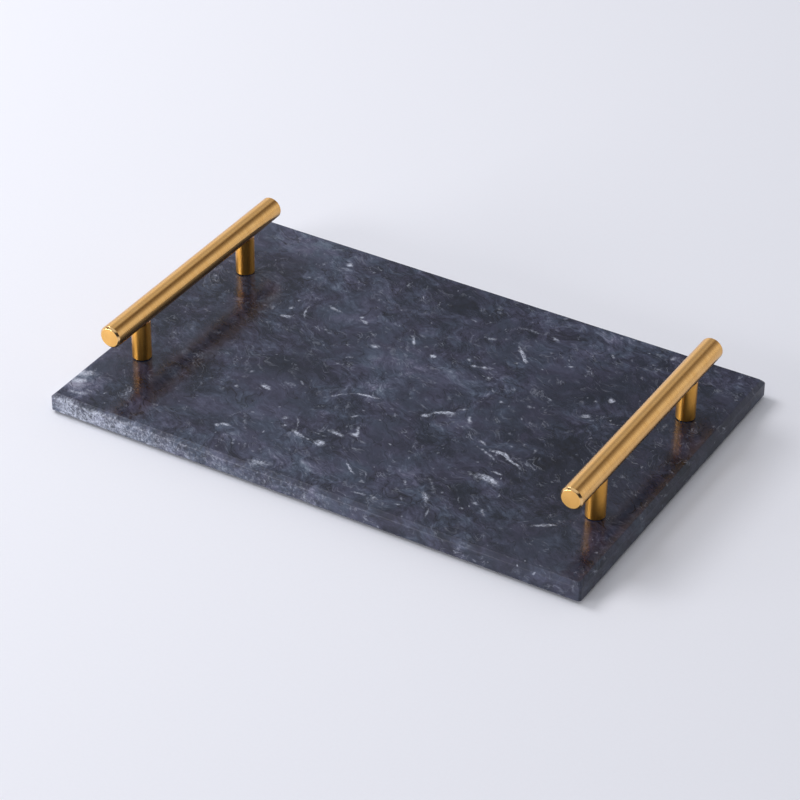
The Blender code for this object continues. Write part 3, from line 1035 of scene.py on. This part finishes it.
def make_screw(side, end):
    """A button head screw, head down."""
    name = f"handle_screw_{side}_{end}"
    low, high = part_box(name)
    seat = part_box(f"washer_{side}_{end}")[0][2] - GAP
    face = low[2]
    outer = radius_of(name)
    dome = []
    for step in range(DOME_STEPS + 1):
        angle = math.radians(90) * step / DOME_STEPS
        across = HEAD_FLAT + (outer - HEAD_FLAT) * math.cos(angle)
        dome.append((across, seat - HEAD_RIM - (seat - HEAD_RIM - face) * math.sin(angle)))
    head = spun([(0, seat), (outer, seat), *dome, (0, face)], ROUND)
    ease(head, 0.08 * MM, 2, 40)
    corner = SOCKET / 2 / math.cos(math.pi / 6)
    inside, outside = face + SOCKET_DEPTH, face - SOCKET_DEPTH
    hexagon = spun([(0, inside), (corner, inside), (corner, outside), (0, outside)], 6)
    shank = threaded(seat - HEAD_RIM, high[2])
    screw = on_axis(f"button_screw_{side}_{end}", head, name)
    thread = on_axis("shank", shank, name)
    union = screw.modifiers.new("join", "BOOLEAN")
    union.operation = "UNION"
    union.solver = "EXACT"
    union.object = thread
    carve(screw, [on_axis("socket", hexagon, name)], TURNED_TURN)
    bpy.data.objects.remove(thread)
    return settle(screw, name)


def make_stud(side, end):
    """A length of thread between post and bar."""
    name = f"bar_stud_{side}_{end}"
    low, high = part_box(name)
    shape = threaded(low[2], high[2])
    return settle(on_axis(f"threaded_stud_{side}_{end}", shape, name), name)


def make_washer(side, end):
    """A stamped ring with its edges rounded."""
    name = f"washer_{side}_{end}"
    low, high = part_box(name)
    inner, outer = THREAD / 2 + WASHER_CLEARANCE, radius_of(name)
    profile = [(inner, high[2]), (outer, high[2]), (outer, low[2]), (inner, low[2])]
    shape = spun(profile, ROUND, loop=True)
    ease(shape, 0.12 * MM, 3, 40)
    return settle(on_axis(f"plated_washer_{side}_{end}", shape, name), name)


def make_pad(side, end):
    """A disc of foam rubber, its edge pressed a little round."""
    name = f"foot_{side}_{end}"
    low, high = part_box(name)
    outer = radius_of(name)
    shape = spun([(0, high[2]), (outer, high[2]), (outer, low[2]), (0, low[2])], FINE_ROUND)
    ease(shape, 0.2 * MM, 4, 40)
    return settle(on_axis(f"rubber_pad_{side}_{end}", shape, name, (rubber,)), name)


makers = (make_screw, make_stud, make_washer, make_pad)
small = [make(side, end) for make in makers for side in SIDES for end in ENDS]
print("fasteners and pads:", len(small))

# %% [markdown]
# ## Floor
# The tray stands on a pale paper sweep. A matt white with the faintest blue gives its
# cool white, and the tray's shadow falls on it.

# %% Paper floor
FLOOR_SIZE = 6.0
floor_shape = bmesh.new()
bmesh.ops.create_grid(floor_shape, x_segments=1, y_segments=1, size=FLOOR_SIZE / 2)
paper, paper_tree, paper_shader, paper_place = new_material("paper, matt")
node = partial(add, paper_tree)
fibre = node("ShaderNodeTexNoise", {"Vector": paper_place, "Scale": per_metre(1.5), "Detail": 3})
shades = {"Factor": fibre, 6: linear("#EEEFF3"), 7: linear("#F1F2F6")}
white = node("ShaderNodeMix", shades, data_type="RGBA")
feed(paper_tree, paper_shader, {"Base Color": white, "Roughness": 0.9, "Specular IOR Level": 0.2})
floor = object_of("paper_floor", floor_shape, (paper,))
print("floor:", FLOOR_SIZE, "m across")

# %% [markdown]
# ## Light
# A softbox at the left throws the soft shadow to the right. A strip light stands low at the
# front left: it lights the front edge and draws the bright stripe down each post. The rest
# is a dim room with pale parts: low down at the back like a lit backdrop, at the left and
# overhead. Its walls are grey at the left, brown at the right and near black on the side
# of the camera. The gap between the pale parts draws the long dark stripe on each bar, and
# the dark walls give the posts their dark middles.

# %% Lamps and room
LAMP_COLOUR = "#FBFAFF"
# name, place, width and height in metres, watts
LAMPS = (
    ("side softbox", (-1.27, 0.02, 1.41), 0.75, 0.75, 16.0),
    ("low strip light", (-1.25, -1.56, 0.27), 1.3, 0.5, 38.0),
)

for name, place, width, height, watts in LAMPS:
    lamp = bpy.data.lights.new(name, "AREA")
    lamp.shape = "RECTANGLE"
    lamp.size = width
    lamp.size_y = height
    lamp.energy = watts
    lamp.color = linear(LAMP_COLOUR)[:3]
    stand = bpy.data.objects.new(name, lamp)
    stand.location = place
    stand.rotation_euler = (-Vector(place)).to_track_quat("-Z", "Y").to_euler()
    bpy.context.scene.collection.objects.link(stand)

room = bpy.data.worlds.new("pale room")
bpy.context.scene.world = room
room.use_nodes = True
sky = room.node_tree
node = partial(add, sky)
way = node("ShaderNodeTexCoord").outputs["Generated"]
x_way, y_way, z_way = node("ShaderNodeSeparateXYZ", {0: way}).outputs
slope = node("ShaderNodeMath", {0: x_way, 1: -0.15, 2: z_way}, operation="MULTIPLY_ADD")
forward = node("ShaderNodeMath", {0: y_way, 1: -0.3, 2: z_way}, operation="MULTIPLY_ADD")
# what it is a share of, where it starts, where it is full
EASES = {
    "low": (slope, 0.66, 0.28),
    "behind": (y_way, -0.1, 0.4),
    "left": (x_way, -0.3, -0.65),
    "far left": (x_way, -0.78, -0.92),
    "high": (z_way, 0.54, 0.64),
    "across": (x_way, 0.14, -0.1),
    "overhead": (forward, 0.68, 0.86),
    "rear": (y_way, -0.3, 0.3),
    "right": (x_way, -0.25, 0.1),
}
share = {
    name: node("ShaderNodeMapRange", {"Value": source, "From Min": start, "From Max": full})
    for name, (source, start, full) in EASES.items()
}
UPPER_SHARE = 0.8  # how pale the upper left of the backdrop is
upper = node("ShaderNodeMath", {0: share["high"], 1: share["across"]}, operation="MULTIPLY")
upper = node("ShaderNodeMath", {0: upper, 1: UPPER_SHARE}, operation="MULTIPLY")
lit = share["low"]
for operation, other in (
    ("MAXIMUM", share["left"]),
    ("MAXIMUM", upper),
    ("MULTIPLY", share["behind"]),
    ("MAXIMUM", share["far left"]),
):
    lit = node("ShaderNodeMath", {0: lit, 1: other}, operation=operation)
# Only reflections and light see the room. Past the paper, the camera sees a plain backdrop.
seen = node("ShaderNodeLightPath").outputs["Is Camera Ray"]
# Each layer: its share, the colour where the share is none, and where it is full. A layer
# without one of the two colours shows the layers before it there.
LAYERS = (
    (share["right"], "#52546C", "#4E3818"),
    (share["rear"], "#25262B", None),
    (lit, None, "#E9EBF3"),
    (share["overhead"], None, "#D9DBE0"),
    (seen, None, "#DFE1E8"),
)
room_colour = None
for amount, none, full in LAYERS:
    under, over = (linear(code) if code else room_colour for code in (none, full))
    room_colour = node("ShaderNodeMix", {"Factor": amount, 6: under, 7: over}, data_type="RGBA")
feed(sky, sky.nodes["Background"], {"Color": room_colour, "Strength": 1.0})
print("lamps:", [lamp[0] for lamp in LAMPS])

# %% [markdown]
# ## Camera
# A long lens looks down at the tray from the right of its front edge. The angles, the
# distance and the aim were found from the slab's corners and the bars' ends.

# %% Camera
AZIMUTH = 30.294
ELEVATION = 34.330
ROLL = 0.728
DISTANCE = 1.53975
LENS = 137.435
AIM = (-5.06 * MM, 1.21 * MM)


def camera_frame():
    """The camera's own right, up and back, and its place."""
    azimuth, elevation, roll = (math.radians(angle) for angle in (AZIMUTH, ELEVATION, ROLL))
    flat = math.cos(elevation)
    back = Vector((math.sin(azimuth) * flat, -math.cos(azimuth) * flat, math.sin(elevation)))
    level = Vector((math.cos(azimuth), math.sin(azimuth), 0))
    upright = back.cross(level)
    underside = Vector((0, 0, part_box("marble_slab")[0][2]))
    place = underside + back * DISTANCE + level * AIM[0] + upright * AIM[1]
    right = level * math.cos(roll) + upright * math.sin(roll)
    up = upright * math.cos(roll) - level * math.sin(roll)
    return right, up, back, place


right, up, back, place = camera_frame()
lens = bpy.data.cameras.new("camera")
lens.lens = LENS
lens.sensor_width = 36
lens.clip_end = 20
camera = bpy.data.objects.new("camera", lens)
camera.matrix_world = Matrix.Translation(place) @ Matrix((right, up, back)).transposed().to_4x4()
bpy.context.scene.collection.objects.link(camera)
bpy.context.scene.camera = camera
bpy.context.scene.view_settings.view_transform = "Standard"
print("camera at", [round(value, 3) for value in place])
